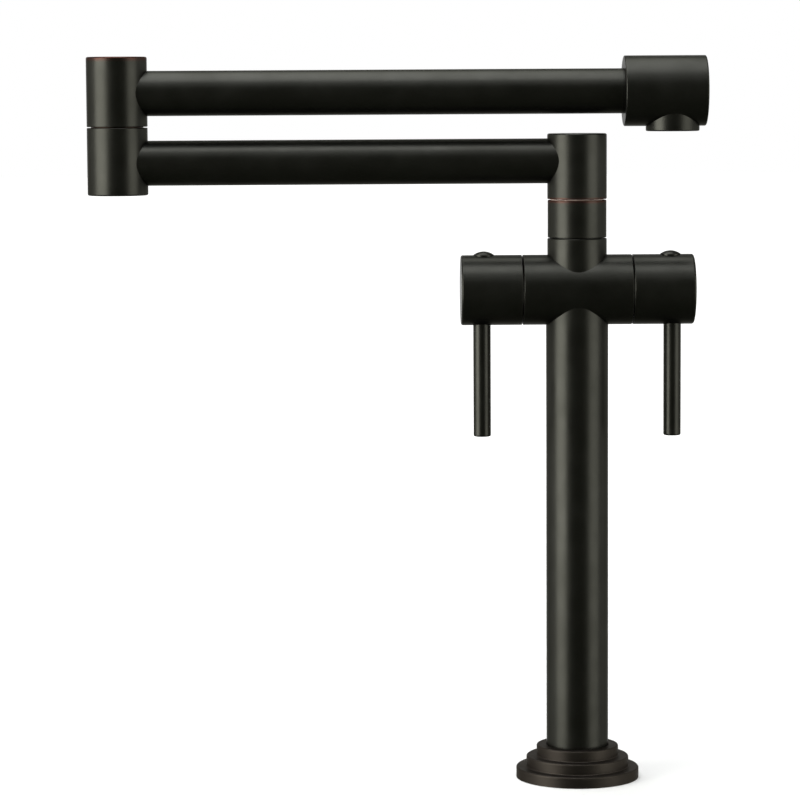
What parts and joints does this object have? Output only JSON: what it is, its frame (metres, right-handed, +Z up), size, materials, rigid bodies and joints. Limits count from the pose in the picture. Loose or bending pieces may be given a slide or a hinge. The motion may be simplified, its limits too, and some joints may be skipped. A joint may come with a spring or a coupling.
{
  "type": "deck-mounted sink mixer",
  "caption": "Deck-mounted sink mixer on a tall column, with hot and cold lever valves on a cross barrel and a jointed spout that folds back over itself.",
  "frame": {"origin": "on the column's axis, in the plane of the deck that the flange and the column stand on", "axes": "+Z up along the column, +X along the barrel from the hot valve to the cold valve, -Y towards the user; at rest the spout is folded, with the lower arm towards -X and the upper arm back over it towards +X"},
  "size_m": [0.3165, 0.0636, 0.4342],
  "materials": {
    "oil_rubbed_bronze": "satin near-black patina on brass, rubbed through to copper on a few edges",
    "brass": "machined",
    "bearing_bronze": "turned, dull",
    "rubber": "matt black",
    "steel": "plain stainless",
    "ceramic": "lapped, white",
    "white_plastic": "natural white"
  },
  "bodies": {
    "mixer": {"deck_flange": "oil_rubbed_bronze", "flange_gasket": "rubber", "column_seal": "rubber", "column_tube": "oil_rubbed_bronze", "mounting_shank": "brass", "under_deck_gasket": "rubber", "under_deck_washer": "steel", "lock_nut": "brass", "mixer_body": "oil_rubbed_bronze", "neck_collar": "oil_rubbed_bronze", "hot_cartridge_housing": "brass", "hot_bonnet_seal": "rubber", "hot_seat_seal": "rubber", "hot_fixed_disc": "ceramic", "cold_cartridge_housing": "brass", "cold_bonnet_seal": "rubber", "cold_seat_seal": "rubber", "cold_fixed_disc": "ceramic"},
    "lower_arm": {"neck_slip_washer": "bearing_bronze", "neck_spigot": "brass", "spout_split_ring": "steel", "neck_o_rings": "rubber", "lower_arm_neck_hub": "oil_rubbed_bronze", "lower_arm_tube": "oil_rubbed_bronze", "lower_arm_elbow_hub": "oil_rubbed_bronze", "elbow_plug": "oil_rubbed_bronze", "elbow_plug_seal": "rubber", "elbow_slip_washer": "bearing_bronze"},
    "upper_arm": {"elbow_spigot": "brass", "elbow_o_rings": "rubber", "elbow_thrust_washer": "white_plastic", "elbow_retaining_nut": "brass", "upper_arm_elbow_hub": "oil_rubbed_bronze", "upper_arm_tube": "oil_rubbed_bronze", "nozzle_head": "oil_rubbed_bronze", "aerator_seal": "rubber", "aerator_housing": "oil_rubbed_bronze", "aerator_insert": "white_plastic", "aerator_screen": "steel"},
    "hot_handle": {"hot_handle_hub": "oil_rubbed_bronze", "hot_lever_rod": "oil_rubbed_bronze", "hot_index_button": "oil_rubbed_bronze", "hot_grub_screw": "steel", "hot_valve_stem": "brass", "hot_stem_seals": "rubber", "hot_stem_washer": "white_plastic", "hot_stem_clip": "steel", "hot_moving_disc": "ceramic"},
    "cold_handle": {"cold_handle_hub": "oil_rubbed_bronze", "cold_lever_rod": "oil_rubbed_bronze", "cold_index_button": "oil_rubbed_bronze", "cold_grub_screw": "steel", "cold_valve_stem": "brass", "cold_stem_seals": "rubber", "cold_stem_washer": "white_plastic", "cold_stem_clip": "steel", "cold_moving_disc": "ceramic"}
  },
  "joints": [
    {"name": "neck_swivel", "type": "hinge", "parent": "mixer", "child": "lower_arm", "pos_m": [0, 0, 0.3003], "axis": [0, 0, 1], "continuous": true},
    {"name": "elbow_swivel", "type": "hinge", "parent": "lower_arm", "child": "upper_arm", "pos_m": [-0.235, 0, 0.3385], "axis": [0, 0, 1], "continuous": true},
    {"name": "hot_lever_turn", "type": "hinge", "parent": "mixer", "child": "hot_handle", "pos_m": [-0.049, 0, 0.254], "axis": [-1, 0, 0], "range_deg": [0, 90]},
    {"name": "cold_lever_turn", "type": "hinge", "parent": "mixer", "child": "cold_handle", "pos_m": [0.049, 0, 0.254], "axis": [-1, 0, 0], "range_deg": [0, 90]}
  ]
}
